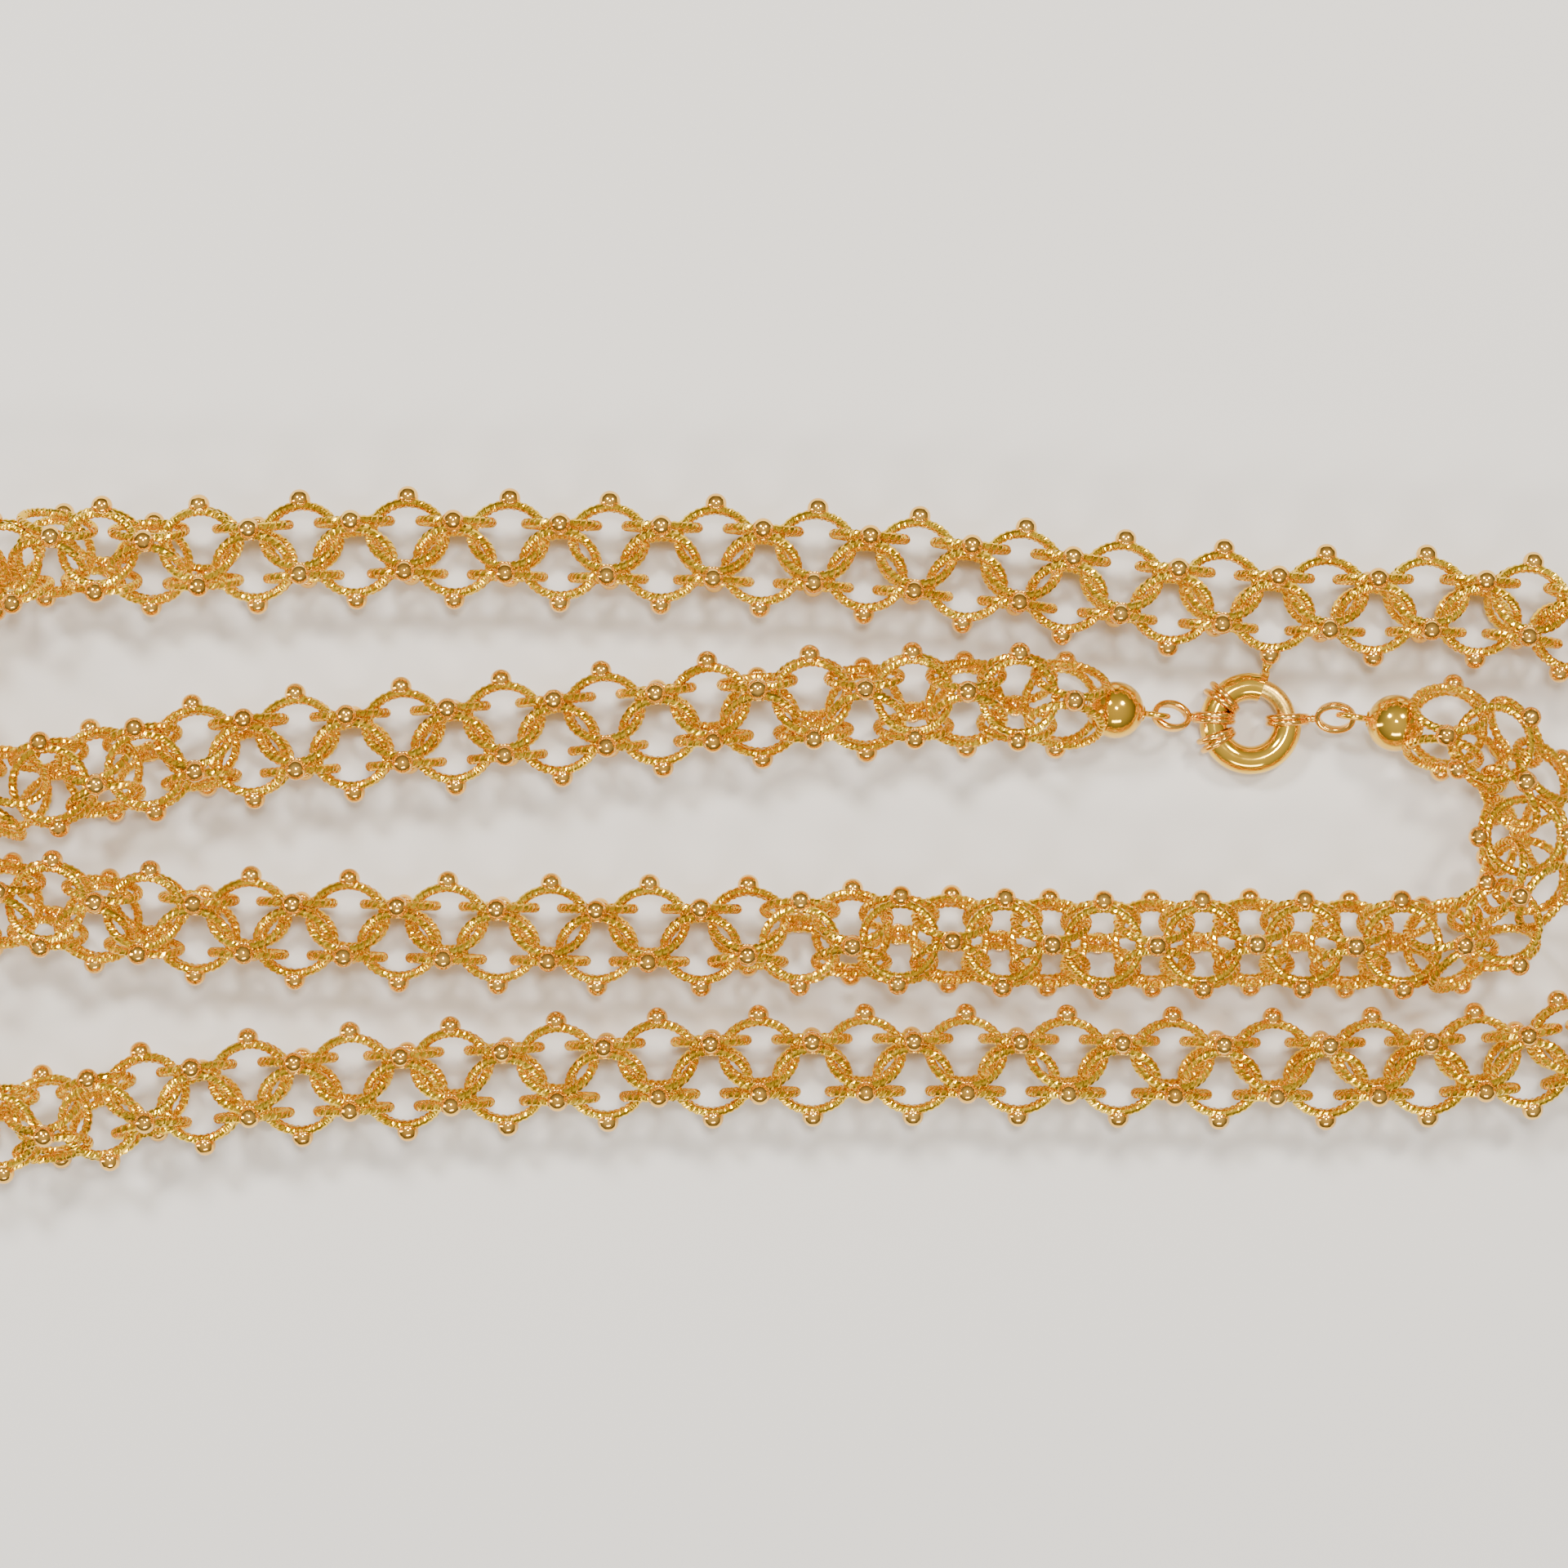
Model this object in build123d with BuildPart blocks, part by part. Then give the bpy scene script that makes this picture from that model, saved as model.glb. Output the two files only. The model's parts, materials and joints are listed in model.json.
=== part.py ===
from build123d import *
import math
import os

# Eyeglasses chain strap: a tubular chain of cage links, closed by a large bolt-ring clasp.
# It lies folded on a flat surface. Millimetres, +Z up, origin on the surface below the clasp's centre.

# ---- Driving dimensions ----

# Link: three wire rings on the faces of a triangular prism, soldered at its corners by balls
WIRE_RADIUS = 0.36
RING_RADIUS = 3.53  # to the wire's centre
RING_OFFSET = 2.56  # from the chain's axis to a ring's plane
BALL_RADIUS = 1.045
BALL_OFFSET = 4.94  # from the chain's axis to a ball's centre
LINKS_PER_SECTION = 3
SPACING_IN_SECTION = 5.2
SPACING_AT_JOINT = 4.7
LONG_SECTIONS = {58: 5, 63: 5, 68: 5, 100: 4, 110: 4, 138: 5}  # first link of the section, links
LINK_TWIST = 60  # degrees from one link to the next about the chain's axis
BEND_SPACING = 5.25  # spacing in a bend, less the next value for each degree turned per millimetre
BEND_CLOSING = 0.24

# Tight turns of the lay: links sit nearer together there and lean in a wave four links long.
# Each wave is the share of a cosine, the share of a sine and an up-and-down step, in mm or degrees.
TURN_LIFT = 0.9
HALF_TURN_LINKS = 12  # links at the turn's spacing in each of the two left-hand turns
HALF_TURN_SPACING = 4.62
HALF_TURN_WAVE = {
    "up": (0.53, 0.21, 0.29),
    "out": (-0.49, -0.85, 0.24),
    "yaw": (-14, 1.41, 5.4),
    "pitch": (-8.57, -3.32, -3.62),
    "roll": (1.67, -0.34, 0.45),
}
HALF_TURN_ROLL = 18.54
HALF_TURN_ROLL_REACH = 44.32  # from the turn's middle to where its roll ends
HALF_TURN_REACH = 25.22  # from the turn's middle to where the wave ends
HALF_TURN_FADE = 7.76
INNER_LINKS = 11
INNER_SPACING = 4.74
INNER_WAVE = {
    "up": (0.47, 0.35, 0.3),
    "out": (-0.23, -0.89, 0.24),
    "yaw": (-6.03, 9.27, 7.81),
    "pitch": (-14, -5.13, -4.44),
    "roll": (2.92, -0.69, -0.24),
}
INNER_ROLL = 37.7
INNER_ROLL_REACH = 32.52
INNER_REACH = 39.76  # from the bead's centre to where the wave ends
INNER_FADE = 6.54
INNER_END_FADE = 4
ROLL_FADE = 18
END_DROOP = 0.4
END_NOSE = 7.0  # degrees that the end links dip towards their beads

# Roll of the open runs: the chain rests on a flat face next to a bead and before the inner turn,
# and on a row of balls everywhere else
FACE_ROLL = 30
START_ROLL_LENGTH = 50  # from the left bead, over which its roll fades
FRONT_ROLL_X = -56  # where the inner front strand starts to roll
FRONT_ROLL_LENGTH = 24

# Link numbers at which the tight turns start; the last link stands next to the right bead
UPPER_FIRST = 19
LOWER_FIRST = 101
LAST_LINK = 146

# Beads at the two ends of the chain, and their wire loops
BEAD_RADIUS = 2.775
BEAD_WALL = 0.25
BEAD_HOLE_RADIUS = 0.32
BEAD_TO_LINK = 5.0
BEAD_LOOP_WIRE = 0.3
LEFT_LOOP_RADIUS = 1.25
RIGHT_LOOP_RADIUS = 1.45
SOLDER_DEPTH = 0.1
LEFT_BEAD = (-13.4, 0.9)
RIGHT_BEAD = (13.9, -1.6)

# Connectors between the bead loops and the clasp; angles are counted round the clasp from +X
LEFT_CONNECTOR_ANGLE = 172
RIGHT_CONNECTOR_ANGLE = 5
TUBE_LOOP_RADIUS = 1.88
TUBE_LOOP_WIRE = 0.3
NECK_RADIUS = 0.42
EYE_LENGTH = 4.1
EYE_WIDTH = 3.3
EYE_BAND = 0.45
EYE_HEIGHT = 0.6
EYE_TILT = 30

# Clasp: an open ring of tube whose mouth is closed by a sprung bolt
CLASP_RADIUS = 3.625  # to the tube's centre
CLASP_HEIGHT = 2.25
TUBE_RADIUS = 1.375
TUBE_WALL = 0.275
TUBE_START = 72
TUBE_END = 372
SLOT_START = 70
SLOT_END = 133
SLOT_WIDTH = 0.9
UPPER_COLLAR_ANGLE = 139
LOWER_COLLAR_ANGLE = 205
COLLAR_RADIUS = 2.0
COLLAR_WIDTH = 0.9
BOLT_RADIUS = 0.885
BOLT_START = 9
BOLT_END = 100
LEVER_ANGLE = 74
LEVER_RADIUS = 0.35
LEVER_REACH = 2.3
KNOB_RADIUS = 0.5
SADDLE_RADIUS = 1.78
SADDLE_GAP = 0.06
SADDLE_WIDTH = 0.55
SADDLE_EDGE = 0.6  # how far out from the tube's centre line the saddle's skirts reach
SPRING_RADIUS = 0.72
SPRING_WIRE = 0.13
SPRING_COILS = 9
SPRING_START = 103
SPRING_END = 187
STOP_GAP = 3
STOP_WIDTH = 0.4
STOP_PRESS = 0.02


def height_of(roll):
    """Height of the chain's axis when its lowest row of balls rests on the surface."""
    from_row = abs(roll % 60 - 30)
    return BALL_OFFSET * math.cos(math.radians(from_row)) + BALL_RADIUS


# ---- Lay of the chain, in plan ----

def turn_points(x, y, radius, start, end, steps):
    """Points round an arc from one angle to another, in degrees."""
    angles = [start + (end - start) * k / steps for k in range(steps + 1)]
    return [
        (x + radius * math.cos(math.radians(a)), y + radius * math.sin(math.radians(a)))
        for a in angles
    ]


INNER_TOP = [(-18.35, 1.9), (-28, 2.2), (-48, 1.4), (-67.5, -0.3), (-87.8, -1.8), (-109, -4.3)]
UPPER_TURN = turn_points(-119.6, 4.9, 11.2, 262, 98, 5)
OUTER_TOP = [
    (-110.7, 16.2), (-85.8, 17.0), (-68, 16.7), (-48.8, 16.2), (-29.6, 14.8), (-10.3, 12.6), (8, 11.4)
]
RIGHT_TURN = turn_points(24, -11, 22, 90, -60, 5)
OUTER_FRONT = [
    (20, -33.2), (5.8, -33.6), (-12, -33.4), (-34.4, -33.2), (-58, -33.6), (-88.2, -35.0), (-110, -37.3)
]
LOWER_TURN = turn_points(-125.6, -28.7, 10.6, 262, 98, 5)
INNER_FRONT = [(-110, -18.9), (-91.9, -20.0), (-62, -20.6), (-37.6, -20.8), (-12, -21.5), (8, -21.5)]
INNER_TURN = turn_points(16.5, -10.9, 10.5, -82, 66, 5)

# Lengths of chain that hold the left-hand turns, from the left bead and from the right one
UPPER_TURN_SPAN = (80, 160)
LOWER_TURN_SPAN = (280, 190)
INNER_SPAN = 80  # length of chain before the right bead that belongs to the inner turn

with BuildLine() as lay:
    Spline(
        LEFT_BEAD, *INNER_TOP, *UPPER_TURN, *OUTER_TOP, *RIGHT_TURN, *OUTER_FRONT,
        *LOWER_TURN, *INNER_FRONT, *INNER_TURN, RIGHT_BEAD,
    )
lay_line = lay.edges()[0]
LAY_LENGTH = lay_line.length


def point_at(s):
    return lay_line.position_at(s, position_mode=PositionMode.LENGTH)


def heading_at(s):
    run = lay_line.tangent_at(s, position_mode=PositionMode.LENGTH)
    return math.degrees(math.atan2(run.Y, run.X))


def turn_rate(s):
    """Degrees turned per millimetre, positive to the left."""
    reach = 3.0
    change = heading_at(min(s + reach, LAY_LENGTH)) - heading_at(max(s - reach, 0))
    return ((change + 180) % 360 - 180) / (2 * reach)


def northward(start, end):
    """Place in a right-hand half turn where the chain heads along +Y."""
    while end - start > 0.001:
        middle = (start + end) / 2
        if math.cos(math.radians(heading_at(middle))) < 0:
            start = middle
        else:
            end = middle
    return start


# ---- Places of the links along the lay ----

def sections_of(count):
    """Link numbers section by section: single end links, threes, and a longer one in wide turns."""
    groups = [[0]]
    while groups[-1][-1] < count - 1:
        first = groups[-1][-1] + 1
        size = LONG_SECTIONS.get(first, LINKS_PER_SECTION)
        groups.append([n for n in range(first, first + size) if n < count])
    return groups


sections = sections_of(LAST_LINK + 1)
section_ends = [members[-1] for members in sections]


def gap_after(s, number):
    """Distance from a link to the next one: shorter at a joint and in a bend."""
    straight = SPACING_AT_JOINT if number in section_ends else SPACING_IN_SECTION
    return min(straight, BEND_SPACING - BEND_CLOSING * abs(turn_rate(s)))


def walk(start, first, last, share):
    """Places of the links from one number to another, with the gaps scaled by a share."""
    places = [start]
    for number in range(first, last):
        places.append(places[-1] + share * gap_after(places[-1], number))
    return places


def open_run(start, end, first, last):
    """Places of the links of an open run that ends exactly where a tight turn starts."""
    low, high = 0.8, 1.2
    for _ in range(20):
        share = (low + high) / 2
        places = walk(start, first, last, share)
        if places[-1] < end:
            low = share
        else:
            high = share
    return places


def tight_run(start, spacing, count):
    return [start + k * spacing for k in range(count)]


HALF_TURN_LENGTH = (HALF_TURN_LINKS - 1) * HALF_TURN_SPACING
INNER_LENGTH = (INNER_LINKS - 1) * INNER_SPACING
upper_middle = northward(*UPPER_TURN_SPAN)
lower_middle = northward(LAY_LENGTH - LOWER_TURN_SPAN[0], LAY_LENGTH - LOWER_TURN_SPAN[1])
upper_turn = tight_run(upper_middle - HALF_TURN_LENGTH / 2, HALF_TURN_SPACING, HALF_TURN_LINKS)
lower_turn = tight_run(lower_middle - HALF_TURN_LENGTH / 2, HALF_TURN_SPACING, HALF_TURN_LINKS)
inner_turn = tight_run(LAY_LENGTH - BEAD_TO_LINK - INNER_LENGTH, INNER_SPACING, INNER_LINKS)

UPPER_LAST = UPPER_FIRST + HALF_TURN_LINKS - 1
LOWER_LAST = LOWER_FIRST + HALF_TURN_LINKS - 1
INNER_FIRST = LAST_LINK - INNER_LINKS + 1
first_run = open_run(BEAD_TO_LINK, upper_turn[0], 0, UPPER_FIRST)
second_run = open_run(upper_turn[-1], lower_turn[0], UPPER_LAST, LOWER_FIRST)
third_run = open_run(lower_turn[-1], inner_turn[0], LOWER_LAST, INNER_FIRST)
stations = first_run[:-1] + upper_turn + second_run[1:-1] + lower_turn + third_run[1:-1] + inner_turn


# ---- Attitude of each link ----

def limit(share):
    return min(max(share, 0), 1)


def wave(parts, step):
    """Value of a wave four links long at a step: cosine, sine and up-and-down shares."""
    quarter = math.radians(90 * step)
    return parts[0] * math.cos(quarter) + parts[1] * math.sin(quarter) + parts[2] * (-1) ** step


def turn_at(number, s):
    """Side, wave, strength and step of a tight turn at a link, and its roll before the wave."""
    from_end = LAY_LENGTH - s
    if from_end < INNER_SPAN:
        strength = limit((INNER_REACH - from_end) / INNER_FADE)
        strength *= limit((from_end - BEAD_TO_LINK) / INNER_END_FADE)
        roll = FACE_ROLL + (INNER_ROLL - FACE_ROLL) * limit((INNER_ROLL_REACH - from_end) / ROLL_FADE)
        return 1, INNER_WAVE, strength, number - LAST_LINK, roll
    in_upper = s < LAY_LENGTH / 2
    from_middle = abs(s - (upper_middle if in_upper else lower_middle))
    strength = limit((HALF_TURN_REACH - from_middle) / HALF_TURN_FADE)
    roll = HALF_TURN_ROLL * limit((HALF_TURN_ROLL_REACH - from_middle) / ROLL_FADE)
    step = number - (UPPER_FIRST if in_upper else LOWER_FIRST)
    return -1, HALF_TURN_WAVE, strength, step, roll


def open_roll(s):
    """Turn of the chain about its own axis away from the tight left-hand turns."""
    if s < START_ROLL_LENGTH:
        return FACE_ROLL * (1 - s / START_ROLL_LENGTH)
    if s > lower_middle:
        return FACE_ROLL * limit((point_at(s).X - FRONT_ROLL_X) / FRONT_ROLL_LENGTH)
    return 0


def link_place(number, s):
    """Where one link sits: its X axis lies along the chain."""
    side, leans, strength, step, roll = turn_at(number, s)
    roll = side * (roll + strength * wave(leans["roll"], step))
    if LAY_LENGTH - s >= INNER_SPAN:
        roll += open_roll(s)
    resting = height_of(roll) * (1 - strength) + height_of(FACE_ROLL) * strength
    up = resting + strength * (TURN_LIFT + wave(leans["up"], step))
    pitch = strength * wave(leans["pitch"], step)
    if number in (0, LAST_LINK):
        up -= END_DROOP
        pitch += END_NOSE if number else -END_NOSE
    out = strength * wave(leans["out"], step)
    heading = math.radians(heading_at(s))
    place = point_at(s)
    x = place.X + side * out * math.sin(heading)
    y = place.Y - side * out * math.cos(heading)
    yaw = math.degrees(heading) + side * strength * wave(leans["yaw"], step)
    about_axis = -(roll + LINK_TWIST * (number % 2))
    return Location((x, y, up)) * Rotation(0, 0, yaw) * Rotation(0, pitch, 0) * Rotation(about_axis, 0, 0)


link_places = [link_place(number, s) for number, s in enumerate(stations)]

# ---- Solids ----

os.makedirs("parts", exist_ok=True)


def ring_plane(turn):
    """Plane of one ring of a link: its normal leans out from the link's X axis."""
    angle = math.radians(turn)
    outward = Vector(0, math.sin(angle), math.cos(angle))
    return Plane(origin=outward * RING_OFFSET, x_dir=(1, 0, 0), z_dir=outward)


def corner(turn):
    """Centre of the ball that joins two rings."""
    angle = math.radians(turn)
    return (0, BALL_OFFSET * math.sin(angle), BALL_OFFSET * math.cos(angle))


with BuildPart() as link:
    with Locations(*[ring_plane(30 + 120 * k) for k in range(3)]):
        Torus(RING_RADIUS, WIRE_RADIUS)
    with Locations(*[corner(90 + 120 * k) for k in range(3)]):
        Sphere(BALL_RADIUS)

# A section is a group of separate links, each running through its neighbours
for section_number, members in enumerate(sections, start=1):
    name = f"chain_{section_number:02d}"
    section = Compound(label=name, children=[link.part.moved(link_places[m]) for m in members])
    export_step(section, f"parts/{name}.step")


# ---- Beads and their loops ----

def bead_plane(link_number, side):
    """Plane of the bead on an end link: X points out of the chain, Y is level."""
    end_link = Plane(link_places[link_number])
    outward = end_link.x_dir * side
    level = Vector(0, 0, 1).cross(outward).normalized()
    return Plane(origin=end_link.origin + outward * BEAD_TO_LINK, x_dir=outward, z_dir=outward.cross(level))


def loop_plane(bead, loop_radius):
    """Upright plane of a bead's wire loop, which is soldered to the bead's face."""
    reach = BEAD_RADIUS + loop_radius - SOLDER_DEPTH
    return Plane(origin=bead.origin + bead.x_dir * reach, x_dir=bead.x_dir, z_dir=bead.y_dir)


left_bead_plane = bead_plane(0, -1)
right_bead_plane = bead_plane(LAST_LINK, 1)
left_loop_plane = loop_plane(left_bead_plane, LEFT_LOOP_RADIUS)
right_loop_plane = loop_plane(right_bead_plane, RIGHT_LOOP_RADIUS)

with BuildPart() as bead_shape:
    Sphere(BEAD_RADIUS)
    Sphere(BEAD_RADIUS - BEAD_WALL, mode=Mode.SUBTRACT)
    Cylinder(BEAD_HOLE_RADIUS, 2 * BEAD_RADIUS, rotation=(0, 90, 0), mode=Mode.SUBTRACT)

left_bead = bead_shape.part.moved(left_bead_plane.location)
left_bead.label = "left_bead"
export_step(left_bead, "parts/left_bead.step")

right_bead = bead_shape.part.moved(right_bead_plane.location)
right_bead.label = "right_bead"
export_step(right_bead, "parts/right_bead.step")

with BuildPart(left_loop_plane) as left_bead_loop:
    Torus(LEFT_LOOP_RADIUS, BEAD_LOOP_WIRE)
left_bead_loop.part.label = "left_bead_loop"
export_step(left_bead_loop.part, "parts/left_bead_loop.step")

with BuildPart(right_loop_plane) as right_bead_loop:
    Torus(RIGHT_LOOP_RADIUS, BEAD_LOOP_WIRE)
right_bead_loop.part.label = "right_bead_loop"
export_step(right_bead_loop.part, "parts/right_bead_loop.step")


# ---- Connectors: a loop round the clasp's tube, a neck and a flat oval eye ----

def on_clasp(angle):
    """Point on the centre line of the clasp's tube."""
    turn = math.radians(angle)
    return Vector(CLASP_RADIUS * math.cos(turn), CLASP_RADIUS * math.sin(turn), CLASP_HEIGHT)


def connector_plane(angle, bead_loop):
    """Plane of a connector: origin on the tube, X towards the bead's loop, Y level."""
    start = on_clasp(angle)
    along = (bead_loop.origin - start).normalized()
    level = Vector(0, 0, 1).cross(along).normalized()
    return Plane(origin=start, x_dir=along, z_dir=along.cross(level))


def make_connector(reach):
    """A connector lying along X, with the middle of its eye's far band at the given reach."""
    eye_centre = reach - EYE_LENGTH / 2 + EYE_BAND / 2
    neck_start = TUBE_LOOP_RADIUS
    neck_end = eye_centre - EYE_LENGTH / 2 + EYE_BAND / 2
    with BuildPart() as connector:
        with Locations(Plane.XZ):
            Torus(TUBE_LOOP_RADIUS, TUBE_LOOP_WIRE)
        with Locations(((neck_start + neck_end) / 2, 0, 0)):
            Cylinder(NECK_RADIUS, neck_end - neck_start, rotation=(0, 90, 0))
        with BuildSketch(Plane((eye_centre, 0, 0)).rotated((EYE_TILT, 0, 0))):
            Ellipse(EYE_LENGTH / 2, EYE_WIDTH / 2)
            Ellipse(EYE_LENGTH / 2 - EYE_BAND, EYE_WIDTH / 2 - EYE_BAND, mode=Mode.SUBTRACT)
        extrude(amount=EYE_HEIGHT / 2, both=True)
    return connector.part


left_connector_plane = connector_plane(LEFT_CONNECTOR_ANGLE, left_loop_plane)
left_reach = (left_loop_plane.origin - left_connector_plane.origin).length
left_connector = make_connector(left_reach).moved(left_connector_plane.location)
left_connector.label = "left_connector"
export_step(left_connector, "parts/left_connector.step")

right_connector_plane = connector_plane(RIGHT_CONNECTOR_ANGLE, right_loop_plane)
right_reach = (right_loop_plane.origin - right_connector_plane.origin).length
right_connector = make_connector(right_reach).moved(right_connector_plane.location)
right_connector.label = "right_connector"
export_step(right_connector, "parts/right_connector.step")


# ---- Clasp ----

CLASP_AXIS = Axis((0, 0, CLASP_HEIGHT), (0, 0, 1))


def across_tube(angle):
    """Plane across the tube at an angle: X points outward, Y up."""
    turn = math.radians(angle)
    return Plane(
        origin=on_clasp(angle),
        x_dir=(math.cos(turn), math.sin(turn), 0),
        z_dir=(math.sin(turn), -math.cos(turn), 0),
    )


def half_angle(width):
    """Half the angle that a width along the tube takes up."""
    return math.degrees(width / 2 / CLASP_RADIUS)


with BuildPart() as clasp_tube:
    with BuildSketch(across_tube(TUBE_START)):
        Circle(TUBE_RADIUS)
        Circle(TUBE_RADIUS - TUBE_WALL, mode=Mode.SUBTRACT)
    revolve(axis=CLASP_AXIS, revolution_arc=TUBE_END - TUBE_START)
    with BuildSketch(across_tube(SLOT_START)):
        with Locations((TUBE_RADIUS, 0)):
            Rectangle(4 * TUBE_WALL, SLOT_WIDTH)
    revolve(axis=CLASP_AXIS, revolution_arc=SLOT_END - SLOT_START, mode=Mode.SUBTRACT)
clasp_tube.part.label = "clasp_tube"
export_step(clasp_tube.part, "parts/clasp_tube.step")


def make_collar(angle):
    """A thick band round the tube, centred on an angle."""
    half = half_angle(COLLAR_WIDTH)
    with BuildPart() as collar:
        with BuildSketch(across_tube(angle - half)):
            Circle(COLLAR_RADIUS)
            Circle(TUBE_RADIUS, mode=Mode.SUBTRACT)
        revolve(axis=CLASP_AXIS, revolution_arc=2 * half)
    return collar.part


upper_collar = make_collar(UPPER_COLLAR_ANGLE)
upper_collar.label = "upper_collar"
export_step(upper_collar, "parts/upper_collar.step")

lower_collar = make_collar(LOWER_COLLAR_ANGLE)
lower_collar.label = "lower_collar"
export_step(lower_collar, "parts/lower_collar.step")

with BuildPart() as bolt:
    with BuildSketch(across_tube(BOLT_START)):
        Circle(BOLT_RADIUS)
    revolve(axis=CLASP_AXIS, revolution_arc=BOLT_END - BOLT_START)
bolt.part.label = "bolt"
export_step(bolt.part, "parts/bolt.step")

# Thumb lever: a stub from the bolt out through the slot, a saddle over the tube, and a knob
with BuildPart() as thumb_lever:
    with Locations(across_tube(LEVER_ANGLE)):
        Cylinder(
            LEVER_RADIUS, LEVER_REACH, rotation=(0, 90, 0),
            align=(Align.CENTER, Align.CENTER, Align.MIN),
        )
        with Locations((LEVER_REACH, 0, 0)):
            Sphere(KNOB_RADIUS)
    with BuildSketch(across_tube(LEVER_ANGLE - half_angle(SADDLE_WIDTH))):
        Circle(SADDLE_RADIUS)
        Circle(TUBE_RADIUS + SADDLE_GAP, mode=Mode.SUBTRACT)
        with Locations((SADDLE_EDGE - SADDLE_RADIUS, 0)):
            Rectangle(2 * SADDLE_RADIUS, 3 * SADDLE_RADIUS, mode=Mode.SUBTRACT)
    revolve(axis=CLASP_AXIS, revolution_arc=2 * half_angle(SADDLE_WIDTH))
thumb_lever.part.label = "thumb_lever"
export_step(thumb_lever.part, "parts/thumb_lever.step")

# Plug inside the tube that the far end of the spring pushes against
with BuildPart() as spring_stop:
    with BuildSketch(across_tube(SPRING_END + STOP_GAP)):
        Circle(TUBE_RADIUS - TUBE_WALL + STOP_PRESS)
    revolve(axis=CLASP_AXIS, revolution_arc=2 * half_angle(STOP_WIDTH))
spring_stop.part.label = "spring_stop"
export_step(spring_stop.part, "parts/spring_stop.step")


def coil_point(share):
    """Point on the spring's wire, which winds round the centre line of the tube."""
    angle = math.radians(SPRING_START + (SPRING_END - SPRING_START) * share)
    wind = 2 * math.pi * SPRING_COILS * share
    reach = CLASP_RADIUS + SPRING_RADIUS * math.cos(wind)
    return (reach * math.cos(angle), reach * math.sin(angle), CLASP_HEIGHT + SPRING_RADIUS * math.sin(wind))


COIL_STEPS = 8 * SPRING_COILS
with BuildPart() as bolt_spring:
    with BuildLine() as coil:
        Spline(*[coil_point(k / COIL_STEPS) for k in range(COIL_STEPS + 1)])
    with BuildSketch(Plane(origin=coil.line @ 0, z_dir=coil.line % 0)):
        Circle(SPRING_WIRE)
    sweep()
bolt_spring.part.label = "bolt_spring"
export_step(bolt_spring.part, "parts/bolt_spring.step")
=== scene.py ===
"""Looks of the chain strap: cut-wire links, polished fittings, a pale floor and soft studio light."""

import json
import math

import bpy
import numpy as np
from mathutils import Matrix, Vector


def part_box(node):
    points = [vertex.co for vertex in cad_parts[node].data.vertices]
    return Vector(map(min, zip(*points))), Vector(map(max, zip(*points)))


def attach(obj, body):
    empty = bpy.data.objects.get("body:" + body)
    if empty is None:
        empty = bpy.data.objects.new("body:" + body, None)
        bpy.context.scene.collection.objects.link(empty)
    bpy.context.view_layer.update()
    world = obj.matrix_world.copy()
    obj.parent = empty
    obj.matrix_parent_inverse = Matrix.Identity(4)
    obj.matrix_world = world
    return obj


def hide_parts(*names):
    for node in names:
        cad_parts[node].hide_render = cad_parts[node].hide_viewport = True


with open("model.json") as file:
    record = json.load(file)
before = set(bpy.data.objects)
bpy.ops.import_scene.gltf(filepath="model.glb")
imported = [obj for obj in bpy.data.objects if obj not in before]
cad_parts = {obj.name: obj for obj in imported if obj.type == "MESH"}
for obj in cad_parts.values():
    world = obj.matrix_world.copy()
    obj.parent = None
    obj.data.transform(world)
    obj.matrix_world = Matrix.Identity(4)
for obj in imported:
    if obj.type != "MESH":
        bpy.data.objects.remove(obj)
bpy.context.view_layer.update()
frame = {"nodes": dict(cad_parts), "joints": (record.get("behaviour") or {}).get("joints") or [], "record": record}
nodes = frame["nodes"]
joints = {joint["name"]: joint for joint in frame["joints"]}
bodies = frame["record"]["behaviour"]["bodies"]
body_of_node = {node: body for body, members in bodies.items() for node in members}

MM = 0.001

# ---- Chain links, in mm ----

SECTION_PREFIX = "chain_"
WELDS_PER_MM = 200  # two points in the same cell of this grid are one
SOLID_WIRE = 0.36  # wire radius of the solids
BALL_START = 5.2  # further than this from a link's centre there is only ball
BALL_REACH = 2.6  # a ball's points are all nearer than this to its tip
WIRE_RADIUS = 0.43
WIRE_STEPS = 170
WIRE_SIDES = 10
WIRE_TWISTS = 17
TWIST_DEPTH = 0.045
HAMMER_DEPTH = 0.018
HAMMER_COARSE = 37  # dents round a ring
HAMMER_FINE = 61
HAMMER_BEND = 5.0
SEAT_WIRE = 0.10
SEAT_DROP = 0.42  # from a ball's middle towards the link's middle
WIRE, POLISH = 0, 1  # material numbers in a link

# ---- Fittings, in mm and degrees ----

RIM_WIRE = 0.16
LOOP_RIM = 0.62  # on a bead, where its loop is soldered on
LINK_RIM = 0.95  # on a bead, where the chain is soldered on
LOOP_WIRE = 0.3
BAND_RING = 1.88
BAND_WIRE = 0.31
BAND_HALF_GAP = 0.27  # from the middle of a band to each of its two ridges
NECK_RADIUS = 0.32
NECK_FLARE = 0.14  # wider by this at both ends
NECK_KNOT = 0.10  # wider by this in the middle
NECK_KNOT_SPREAD = 0.12  # as a part of the neck's length
EYE_LENGTH = 4.1
EYE_WIDTH = 3.3
EYE_BAND = 0.58
EYE_HALF_HEIGHT = 0.45
EYE_TILT = 30
COLLAR_ANGLES = {"upper_collar": 139, "lower_collar": 205}
COLLAR_RING = 1.67
COLLAR_WIRE = 0.33
COLLAR_HALF_GAP = 0.32
SHARP_ANGLE = 35  # edges of a CAD piece that are sharper than this stay sharp

# ---- Colours, linear ----

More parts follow.
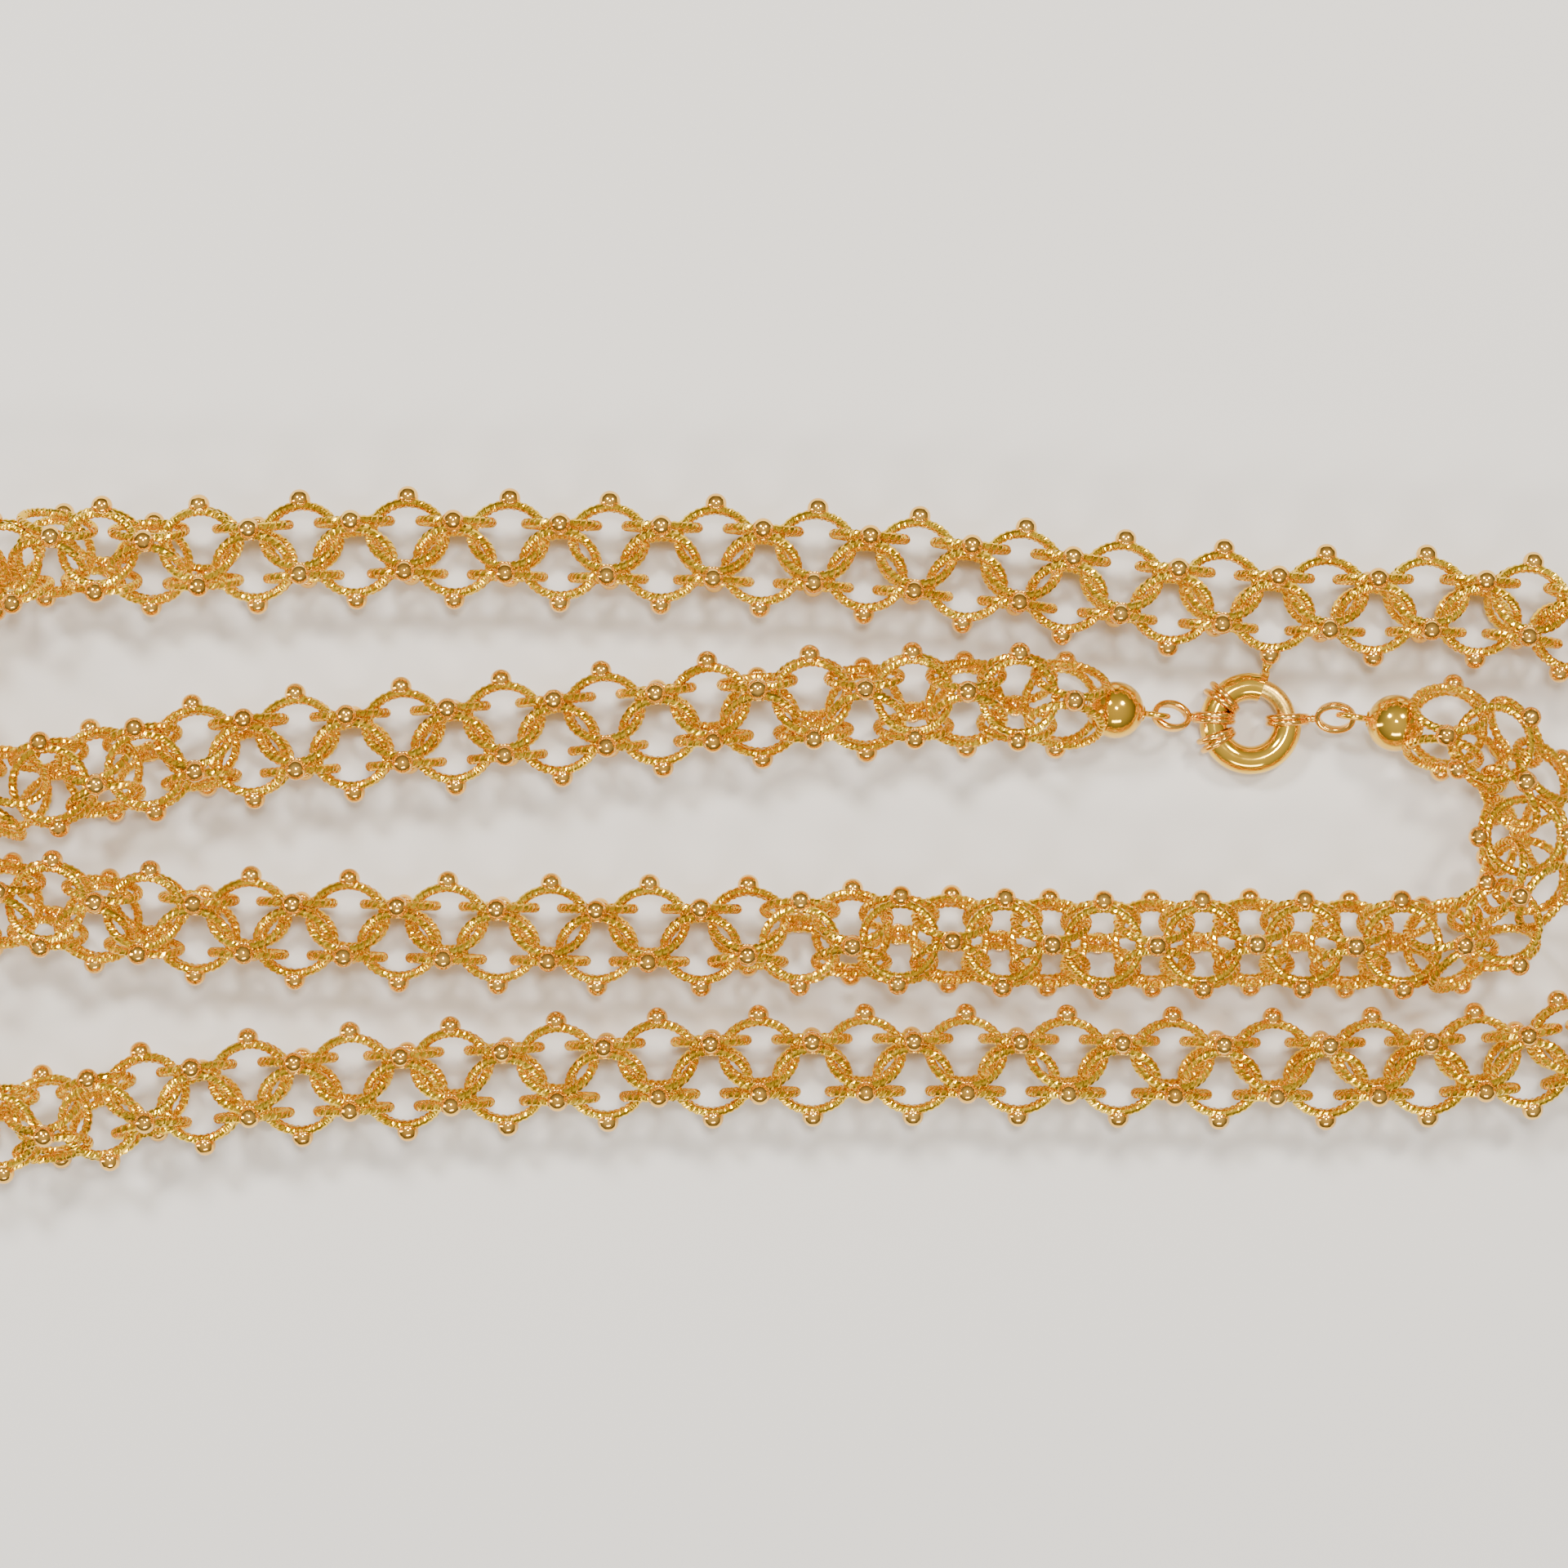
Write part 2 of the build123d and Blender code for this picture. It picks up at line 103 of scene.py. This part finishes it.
STEEL = (0.62, 0.61, 0.58)
FLOOR = (0.78, 0.77, 0.75)
PLAIN_LIGHT = (1.0, 0.98, 0.95)
WARM_LIGHT = (1.0, 0.93, 0.82)
HORIZON = (0.09, 0.08, 0.07)
ZENITH = (1.0, 0.90, 0.77)
BACKDROP = (0.72, 0.71, 0.69)

# ---- Studio, in mm ----

CAMERA_HEIGHT = 480
CAMERA_VIEW = 154  # width of the resting surface in view
SENSOR = 36
VIEW_FROM_CLASP = (-45.6, -5.9, 0)
FLOOR_HALF = 3000
SKY_STRENGTH = 0.75


# ---- Meshes ----

def grid_faces(rows, columns, close_rows=True, close_columns=True):
    """Quads of a grid of points, joined end to end where it is closed."""
    row = np.arange(rows if close_rows else rows - 1)
    column = np.arange(columns if close_columns else columns - 1)
    r, c = np.meshgrid(row, column, indexing="ij")
    next_r, next_c = (r + 1) % rows, (c + 1) % columns
    corners = [r * columns + c, next_r * columns + c, next_r * columns + next_c, r * columns + next_c]
    return np.stack(corners, axis=-1).reshape(-1, 4)


def round_angles(steps, sides):
    """Grid of the angles round a ring and round its wire."""
    u = np.arange(steps) * 2 * math.pi / steps
    v = np.arange(sides) * 2 * math.pi / sides
    return np.meshgrid(u, v, indexing="ij")


class Shape:
    """Points and quads with a material number and a smooth flag for each quad."""

    def __init__(self, points, quads, material=0, smooth=True):
        self.points = np.asarray(points, float)
        self.quads = np.asarray(quads, int)
        self.materials = np.full(len(self.quads), material, int)
        self.smooth = np.full(len(self.quads), smooth, bool)

    def placed(self, matrix):
        """The same shape, moved and turned by a matrix."""
        other = Shape(self.points @ matrix[:3, :3].T + matrix[:3, 3], self.quads)
        other.materials, other.smooth = self.materials, self.smooth
        return other


def joined(shapes):
    """One shape that holds all the others."""
    starts = np.cumsum([0] + [len(s.points) for s in shapes[:-1]])
    whole = Shape(
        np.concatenate([s.points for s in shapes]),
        np.concatenate([s.quads + start for s, start in zip(shapes, starts)]),
    )
    whole.materials = np.concatenate([s.materials for s in shapes])
    whole.smooth = np.concatenate([s.smooth for s in shapes])
    return whole


def make_object(name, shape, materials):
    """Blender object from a shape whose points are in millimetres."""
    mesh = bpy.data.meshes.new(name)
    mesh.vertices.add(len(shape.points))
    mesh.vertices.foreach_set("co", (shape.points * MM).astype(np.float32).ravel())
    mesh.loops.add(shape.quads.size)
    mesh.loops.foreach_set("vertex_index", shape.quads.astype(np.int32).ravel())
    mesh.polygons.add(len(shape.quads))
    mesh.polygons.foreach_set("loop_start", np.arange(0, shape.quads.size, 4, dtype=np.int32))
    mesh.polygons.foreach_set("material_index", shape.materials.astype(np.int32))
    mesh.polygons.foreach_set("use_smooth", shape.smooth)
    for material in materials:
        mesh.materials.append(material)
    mesh.update(calc_edges=True)
    mesh.validate()
    thing = bpy.data.objects.new(name, mesh)
    bpy.context.scene.collection.objects.link(thing)
    return thing


def ball(radius, cuts=7, material=0):
    """Sphere made from a cube's faces, so that it has quads only."""
    steps = np.tan(np.linspace(-math.pi / 4, math.pi / 4, cuts + 1))
    a, b = np.meshgrid(steps, steps, indexing="ij")
    one = np.ones_like(a)
    sides = [(one, a, b), (-one, b, a), (b, one, a), (a, -one, b), (a, b, one), (b, a, -one)]
    faces = grid_faces(cuts + 1, cuts + 1, False, False)
    shapes = []
    for side in sides:
        points = np.stack(side, axis=-1).reshape(-1, 3)
        points = radius * points / np.linalg.norm(points, axis=1)[:, None]
        shapes.append(Shape(points, faces, material))
    return joined(shapes)


def ring(ring_radius, wire_radius, u, v, material=0, smooth=True):
    """Ring of wire about Z, its wire as thick at each pair of angles as wire_radius says."""
    reach = ring_radius + wire_radius * np.cos(v)
    points = np.stack([reach * np.cos(u), reach * np.sin(u), wire_radius * np.sin(v)], axis=-1)
    return Shape(points.reshape(-1, 3), grid_faces(*u.shape), material, smooth)


def torus(ring_radius, wire_radius, steps=72, sides=14, material=0):
    """Ring of round wire about Z."""
    return ring(ring_radius, wire_radius, *round_angles(steps, sides), material)


def cut_ring(ring_radius):
    """Ring of twisted and hammered wire about Z, with flat facets that catch the light."""
    u, v = round_angles(WIRE_STEPS, WIRE_SIDES)
    twist = np.cos(2 * v - 2 * WIRE_TWISTS * u)
    hammer = np.sin(HAMMER_COARSE * u + HAMMER_BEND * np.sin(3 * v)) * np.sin(HAMMER_FINE * u - 2 * v)
    wire = WIRE_RADIUS + TWIST_DEPTH * twist + HAMMER_DEPTH * hammer
    return ring(ring_radius, wire, u, v, WIRE, smooth=False)


def revolved(profile, steps):
    """Skin that a profile of (radius, height) points sweeps about Z."""
    profile = np.array(profile, float)
    u = np.arange(steps) * 2 * math.pi / steps
    across = np.outer(np.cos(u), profile[:, 0])
    along = np.outer(np.sin(u), profile[:, 0])
    height = np.outer(np.ones(steps), profile[:, 1])
    points = np.stack([across, along, height], axis=-1)
    return Shape(points.reshape(-1, 3), grid_faces(steps, len(profile), close_columns=False))


def frame_matrix(origin, x_axis, up):
    """Matrix whose X axis is given and whose Z axis is as near to up as it can be."""
    x = np.array(x_axis, float)
    x = x / np.linalg.norm(x)
    y = np.cross(np.array(up, float), x)
    y = y / np.linalg.norm(y)
    matrix = np.eye(4)
    matrix[:3, 0], matrix[:3, 1], matrix[:3, 2] = x, y, np.cross(x, y)
    matrix[:3, 3] = origin
    return matrix


def turned(axis, degrees):
    """Matrix of a turn about an axis through the origin."""
    return np.array(Matrix.Rotation(math.radians(degrees), 4, axis))


def moved(x=0.0, y=0.0, z=0.0):
    """Matrix of a move."""
    return np.array(Matrix.Translation((x, y, z)))


def stand_in(piece, node):
    """Puts a piece in a CAD node's place, on the body that the node belongs to."""
    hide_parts(node)
    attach(piece, body_of_node[node])


# ---- Materials ----

def node_material(name):
    """New material, its node tree and its surface shader."""
    material = bpy.data.materials.new(name)
    material.use_nodes = True
    tree = material.node_tree
    return material, tree, tree.nodes["Principled BSDF"]


def add_node(tree, kind, **inputs):
    """Node of a kind with some of its inputs set; a space in an input's name is written as an underscore."""
    node = tree.nodes.new(kind)
    for key, value in inputs.items():
        node.inputs[key.replace("_", " ")].default_value = value
    return node


def mapped(tree, value, source, target):
    """Output that takes a value from the source range to the target range."""
    node = add_node(tree, "ShaderNodeMapRange")
    for key, number in zip(("From Min", "From Max", "To Min", "To Max"), (*source, *target)):
        node.inputs[key].default_value = number
    tree.links.new(value, node.inputs["Value"])
    return node.outputs["Result"]


def ramp(tree, value, low_colour, high_colour, low=0.0, high=1.0):
    """Output that blends from one colour at low to the other at high."""
    node = tree.nodes.new("ShaderNodeValToRGB")
    ends = node.color_ramp.elements
    ends[0].position, ends[1].position = low, high
    ends[0].color, ends[1].color = (*low_colour, 1), (*high_colour, 1)
    tree.links.new(value, node.inputs["Fac"])
    return node.outputs["Color"]


def gold(name, bright, deep, roughness, grain, bump, groove_shade=0.6):
    """Gold whose colour, sheen and surface vary finely over the piece, with painted shade that darkens it in its
    grooves.
    """
    material, tree, skin = node_material(name)
    place = tree.nodes.new("ShaderNodeTexCoord")
    cloud = add_node(tree, "ShaderNodeTexNoise", Scale=260.0, Detail=4.0)
    fine = add_node(tree, "ShaderNodeTexNoise", Scale=grain, Detail=6.0)
    for noise in (cloud, fine):
        tree.links.new(place.outputs["Object"], noise.inputs["Vector"])

    tint = ramp(tree, cloud.outputs["Fac"], deep, bright, 0.35, 0.65)
    surface = tree.nodes.new("ShaderNodeNewGeometry")
    # painted shade: the base colour is darkened where the surface is hollow, in grooves and crevices, in place of
    # the shade that the strands cast on each other
    painted_groove_shade = mapped(tree, surface.outputs["Pointiness"], (0.42, 0.52), (groove_shade, 1.0))
    shaded = tree.nodes.new("ShaderNodeVectorMath")
    shaded.operation = "SCALE"
    tree.links.new(tint, shaded.inputs[0])
    tree.links.new(painted_groove_shade, shaded.inputs["Scale"])
    tree.links.new(shaded.outputs["Vector"], skin.inputs["Base Color"])

    sheen = mapped(tree, fine.outputs["Fac"], (0.3, 0.7), (0.7 * roughness, 1.4 * roughness))
    tree.links.new(sheen, skin.inputs["Roughness"])
    relief = add_node(tree, "ShaderNodeBump", Strength=bump, Distance=0.02 * MM)
    tree.links.new(fine.outputs["Fac"], relief.inputs["Height"])
    tree.links.new(relief.outputs["Normal"], skin.inputs["Normal"])
    skin.inputs["Metallic"].default_value = 1.0
    return material


def steel(name):
    """Plain drawn steel with a fine change of sheen."""
    material, tree, skin = node_material(name)
    grain = add_node(tree, "ShaderNodeTexNoise", Scale=3000.0, Detail=3.0)
    sheen = mapped(tree, grain.outputs["Fac"], (0, 1), (0.2, 0.4))
    tree.links.new(sheen, skin.inputs["Roughness"])
    skin.inputs["Base Color"].default_value = (*STEEL, 1)
    skin.inputs["Metallic"].default_value = 1.0
    return material


wire_gold = gold(
    "wire_gold",
    bright=(1.0, 0.68, 0.055),
    deep=(0.84, 0.48, 0.02),
    roughness=0.14,
    grain=2600.0,
    bump=0.30,
    # painted shade in the grooves darkens the wire's colour down to this share
    groove_shade=0.4,
)
ball_gold = gold(
    "ball_gold",
    bright=(1.0, 0.62, 0.15),
    deep=(0.94, 0.52, 0.10),
    roughness=0.11,
    grain=1800.0,
    bump=0.12,
)
polished_gold = gold(
    "polished_gold",
    bright=(1.0, 0.67, 0.09),
    deep=(0.96, 0.58, 0.06),
    roughness=0.10,
    grain=1500.0,
    bump=0.10,
)
matte_gold = gold(
    "matte_gold",
    bright=(0.92, 0.62, 0.15),
    deep=(0.82, 0.52, 0.11),
    roughness=0.30,
    grain=4200.0,
    bump=0.30,
)
spring_steel = steel("spring_steel")


# ---- Places of the links, read from the solids ----

def joined_faces(faces, count):
    """A number for each point, the same for all points that faces join."""
    label = np.arange(count)
    while True:
        low = label[faces].min(1)
        new = label.copy()
        for side in range(3):
            np.minimum.at(new, faces[:, side], low)
        new = new[new]
        if (new == label).all():
            return label
        label = new


def loose_parts(mesh):
    """Points and middle of the skin of each separate solid in a mesh of triangles."""
    co = np.zeros(len(mesh.vertices) * 3, np.float32)
    mesh.vertices.foreach_get("co", co)
    co = co.reshape(-1, 3).astype(float) / MM
    corners = np.zeros(len(mesh.polygons) * 3, np.int32)
    mesh.polygons.foreach_get("vertices", corners)
    corners = corners.reshape(-1, 3)

    cells = np.round(co * WELDS_PER_MM).astype(np.int64)
    welded = np.unique(cells, axis=0, return_inverse=True)[1].ravel()
    label = joined_faces(welded[corners], welded.max() + 1)
    point_label = label[welded]
    face_label = point_label[corners[:, 0]]

    a, b, c = co[corners[:, 0]], co[corners[:, 1]], co[corners[:, 2]]
    area = np.linalg.norm(np.cross(b - a, c - a), axis=1)
    middle = (a + b + c) / 3
    parts = []
    for number in np.unique(point_label):
        mine = face_label == number
        centre = np.average(middle[mine], axis=0, weights=area[mine])
        parts.append((co[point_label == number], centre))
    return parts


def fitted_ball(points):
    """Centre and radius of the sphere that the points lie on."""
    matrix = np.c_[2 * points, np.ones(len(points))]
    answer = np.linalg.lstsq(matrix, (points**2).sum(1), rcond=None)[0]
    centre = answer[:3]
    return centre, math.sqrt(answer[3] + centre @ centre)


def link_frame(points, centre):
    """Matrix of a link, X along the chain and Z towards a ball, with its balls' distance and radius."""
    left = points[np.linalg.norm(points - centre, axis=1) > BALL_START]
    balls = []
    for _ in range(3):
        tip = left[np.argmax(np.linalg.norm(left - centre, axis=1))]
        near = np.linalg.norm(left - tip, axis=1) < BALL_REACH
        balls.append(fitted_ball(left[near]))
        left = left[~near]
    centre = np.mean([place for place, _ in balls], axis=0)
    spokes = [place - centre for place, _ in balls]
    distance = float(np.mean([np.linalg.norm(spoke) for spoke in spokes]))
    radius = float(np.mean([size for _, size in balls]))
    axis = np.cross(spokes[0], spokes[1])
    return frame_matrix(centre, axis, spokes[0]), distance, radius


# ---- Chain ----

def link_shape(sample, sample_middle):
    """One link: three cut-wire rings and three polished balls on their seats, as big as the sample's."""
    matrix, ball_distance, ball_radius = link_frame(sample, sample_middle)
    points = (sample - matrix[:3, 3]) @ matrix[:3, :3]
    end = points[np.argmax(points[:, 0])]  # the outermost point of one ring, in that ring's plane
    ring_radius = end[0] - SOLID_WIRE
    ring_distance = math.hypot(end[1], end[2])
    seat_ring = math.sqrt(ball_radius**2 - SEAT_DROP**2)
    third = [
        cut_ring(ring_radius).placed(moved(z=-ring_distance)),
        ball(ball_radius, material=POLISH).placed(moved(z=ball_distance)),
        torus(seat_ring, SEAT_WIRE, 20, 6, POLISH).placed(moved(z=ball_distance - SEAT_DROP)),
    ]
    return joined([part.placed(turned("X", 120 * k)) for k in range(3) for part in third])


def chain_section(node, template):
    """Fine links in the places of the node's solid ones."""
    links = []
    for points, middle in loose_parts(nodes[node].data):
        matrix, _, _ = link_frame(points, middle)
        links.append(template.placed(matrix))
    name = node.replace(SECTION_PREFIX, "links_")
    stand_in(make_object(name, joined(links), [wire_gold, ball_gold]), node)


sections = sorted(node for node in nodes if node.startswith(SECTION_PREFIX))
fine_link = link_shape(*loose_parts(nodes[sections[0]].data)[0])
for section in sections:
    chain_section(section, fine_link)


# ---- Beads, their loops and the connectors ----

def centre_of(node):
    """Middle of a node's box, in mm."""
    low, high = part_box(node)
    return np.array((low + high) / 2) / MM


def size_of(node):
    """Sides of a node's box, in mm."""
    low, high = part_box(node)
    return np.array(high - low) / MM


def bead(side):
    """Polished hollow bead with a raised rim where its loop and the chain are soldered on."""
    node = f"{side}_bead"
    centre, towards_loop = centre_of(node), centre_of(f"{side}_bead_loop")
    radius = size_of(node).max() / 2
    parts = [ball(radius, cuts=24)]
    for end, rim in ((1, LOOP_RIM), (-1, LINK_RIM)):
        height = end * math.sqrt(radius**2 - rim**2)
        parts.append(torus(rim, RIM_WIRE, 40, 10).placed(moved(z=height)))
    place = frame_matrix(centre, towards_loop - centre, (0, 0, 1)) @ turned("Y", 90)
    piece = make_object(f"{side}_polished_bead", joined(parts).placed(place), [polished_gold])
    stand_in(piece, node)


def bead_loop(side):
    """Round wire loop, upright, that the connector's eye hangs in."""
    node = f"{side}_bead_loop"
    centre, bead_centre = centre_of(node), centre_of(f"{side}_bead")
    loop = torus(size_of(node)[2] / 2 - LOOP_WIRE, LOOP_WIRE, 56, 14)
    place = frame_matrix(centre, centre - bead_centre, (0, 0, 1)) @ turned("X", 90)
    piece = make_object(f"{side}_wire_loop", loop.placed(place), [polished_gold])
    stand_in(piece, node)


def oval_eye(length, width, band, half_height, steps=88, sides=16):
    """Flat oval band in the XY plane, its edges rounded."""
    u = np.arange(steps) * 2 * math.pi / steps
    v = np.arange(sides) * 2 * math.pi / sides
    a, b = (length - band) / 2, (width - band) / 2
    along, across = np.cos(u), np.sin(u)
    out = np.stack([along / a, across / b], axis=-1)
    out /= np.linalg.norm(out, axis=1)[:, None]
    reach = band / 2 * np.sign(np.cos(v)) * np.sqrt(np.abs(np.cos(v)))
    rise = half_height * np.sign(np.sin(v)) * np.sqrt(np.abs(np.sin(v)))
    x = (a * along)[:, None] + out[:, :1] * reach
    y = (b * across)[:, None] + out[:, 1:] * reach
    points = np.stack([x, y, np.broadcast_to(rise, x.shape)], axis=-1)
    return Shape(points.reshape(-1, 3), grid_faces(steps, sides))


def neck(start, end):
    """Waisted neck along Z with a soft knot half way."""
    run = np.linspace(0, 1, 13)
    flare = NECK_FLARE * (2 * run - 1) ** 4
    knot = NECK_KNOT * np.exp(-(((run - 0.5) / NECK_KNOT_SPREAD) ** 2))
    return revolved(np.c_[NECK_RADIUS + flare + knot, start + run * (end - start)], steps=40)


def connector(side):
    """Double band round the clasp's tube, a waisted neck and a flat oval eye."""
    node = f"{side}_connector"
    start = np.array(joints[f"{side}_connector_swing"]["pos_m"]) / MM
    along = centre_of(f"{side}_bead_loop") - start
    eye_middle = np.linalg.norm(along) - (EYE_LENGTH - EYE_BAND) / 2
    neck_end = eye_middle - (EYE_LENGTH - EYE_BAND) / 2
    eye = oval_eye(EYE_LENGTH, EYE_WIDTH, EYE_BAND, EYE_HALF_HEIGHT)
    ridges = [torus(BAND_RING, BAND_WIRE).placed(moved(z=z)) for z in (-BAND_HALF_GAP, BAND_HALF_GAP)]
    parts = [
        joined(ridges).placed(turned("X", 90)),
        neck(BAND_RING + BAND_WIRE / 2, neck_end).placed(turned("Y", 90)),
        eye.placed(moved(x=eye_middle) @ turned("X", EYE_TILT)),
    ]
    place = frame_matrix(start, along, (0, 0, 1))
    piece = make_object(f"{side}_eye_connector", joined(parts).placed(place), [ball_gold])
    stand_in(piece, node)


def collar(node):
    """Ridged band shrunk on the clasp's tube, whose ring is centred on the Z axis."""
    low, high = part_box("clasp_tube")
    tube_radius = (high[2] - low[2]) / 2 / MM
    ring_radius = -low[0] / MM - tube_radius
    height = (high[2] + low[2]) / 2 / MM
    ridges = []
    for step in (-COLLAR_HALF_GAP, COLLAR_HALF_GAP):
        angle = math.radians(COLLAR_ANGLES[node]) + step / ring_radius
        middle = (ring_radius * math.cos(angle), ring_radius * math.sin(angle), height)
        along_tube = (-math.sin(angle), math.cos(angle), 0)
        place = frame_matrix(middle, along_tube, (0, 0, 1)) @ turned("Y", 90)
        ridges.append(torus(COLLAR_RING, COLLAR_WIRE).placed(place))
    piece = make_object(node.replace("collar", "ridged_band"), joined(ridges), [ball_gold])
    stand_in(piece, node)


for side in ("left", "right"):
    bead(side)
    bead_loop(side)
    connector(side)
for band in COLLAR_ANGLES:
    collar(band)


# ---- Clasp ----

def finish_cad_piece(node, material):
    """CAD piece with its own material, its round faces shaded smooth and its edges kept."""
    mesh = nodes[node].data
    mesh.materials.clear()
    mesh.materials.append(material)
    mesh.polygons.foreach_set("material_index", np.zeros(len(mesh.polygons), np.int32))
    mesh.polygons.foreach_set("use_smooth", np.ones(len(mesh.polygons), bool))
    mesh.set_sharp_from_angle(angle=math.radians(SHARP_ANGLE))


finish_cad_piece("clasp_tube", polished_gold)
finish_cad_piece("thumb_lever", polished_gold)
finish_cad_piece("spring_stop", matte_gold)
finish_cad_piece("bolt", matte_gold)
finish_cad_piece("bolt_spring", spring_steel)


# ---- Studio ----

def studio_floor():
    """Plain pale floor that runs far past the object."""
    half = FLOOR_HALF
    points = [(-half, -half, 0), (half, -half, 0), (half, half, 0), (-half, half, 0)]
    material, tree, skin = node_material("pale_floor")
    grain = add_node(tree, "ShaderNodeTexNoise", Scale=40.0, Detail=3.0)
    sheen = mapped(tree, grain.outputs["Fac"], (0, 1), (0.83, 0.87))
    tree.links.new(sheen, skin.inputs["Roughness"])
    skin.inputs["Base Color"].default_value = (*FLOOR, 1)
    make_object("floor", Shape(points, [(0, 1, 2, 3)]), [material])


def soft_light(name, place, target, width, height, power, colour):
    """Rectangular lamp that faces the target; its place is counted from there."""
    light = bpy.data.lights.new(name, "AREA")
    light.shape = "RECTANGLE"
    light.size, light.size_y = width * MM, height * MM
    light.energy = power
    light.color = colour
    lamp = bpy.data.objects.new(name, light)
    lamp.location = (target + Vector(place)) * MM
    lamp.rotation_euler = (-Vector(place)).to_track_quat("-Z", "Y").to_euler()
    bpy.context.scene.collection.objects.link(lamp)


def soft_sky():
    """Warm world, bright overhead and dark at the horizon, that the camera sees as a pale backdrop."""
    world = bpy.data.worlds.new("studio")
    world.use_nodes = True
    sky = world.node_tree
    direction = sky.nodes.new("ShaderNodeTexCoord")
    parts = sky.nodes.new("ShaderNodeSeparateXYZ")
    sky.links.new(direction.outputs["Generated"], parts.inputs["Vector"])
    ray = sky.nodes.new("ShaderNodeLightPath")
    seen = sky.nodes.new("ShaderNodeMix")
    seen.data_type = "RGBA"
    seen.inputs["B"].default_value = (*BACKDROP, 1)
    sky.links.new(ray.outputs["Is Camera Ray"], seen.inputs["Factor"])
    sky.links.new(ramp(sky, parts.outputs["Z"], HORIZON, ZENITH), seen.inputs["A"])
    background = sky.nodes["Background"]
    background.inputs["Strength"].default_value = SKY_STRENGTH
    sky.links.new(seen.outputs["Result"], background.inputs["Color"])
    bpy.context.scene.world = world


def top_camera(target):
    """Looks straight down on the clasp and the four strands beside it."""
    camera = bpy.data.cameras.new("camera")
    camera.sensor_width = SENSOR
    camera.lens = SENSOR * CAMERA_HEIGHT / CAMERA_VIEW
    camera.clip_start, camera.clip_end = 0.01, 20
    eye = bpy.data.objects.new("camera", camera)
    eye.location = (target + Vector((0, 0, CAMERA_HEIGHT))) * MM
    bpy.context.scene.collection.objects.link(eye)
    bpy.context.scene.camera = eye


view_middle = Vector(centre_of("clasp_tube")) + Vector(VIEW_FROM_CLASP)
view_middle.z = 0
studio_floor()
soft_sky()
soft_light("key_left", (-260, 320, 520), view_middle, 110, 110, 3.2, PLAIN_LIGHT)
soft_light("key_right", (280, 260, 480), view_middle, 90, 90, 2.4, WARM_LIGHT)
soft_light("front", (40, -420, 380), view_middle, 320, 80, 1.4, PLAIN_LIGHT)
soft_light("overhead", (30, 90, 760), view_middle, 80, 80, 2.2, PLAIN_LIGHT)
soft_light("low_left", (-480, -60, 160), view_middle, 60, 260, 0.9, WARM_LIGHT)
top_camera(view_middle)
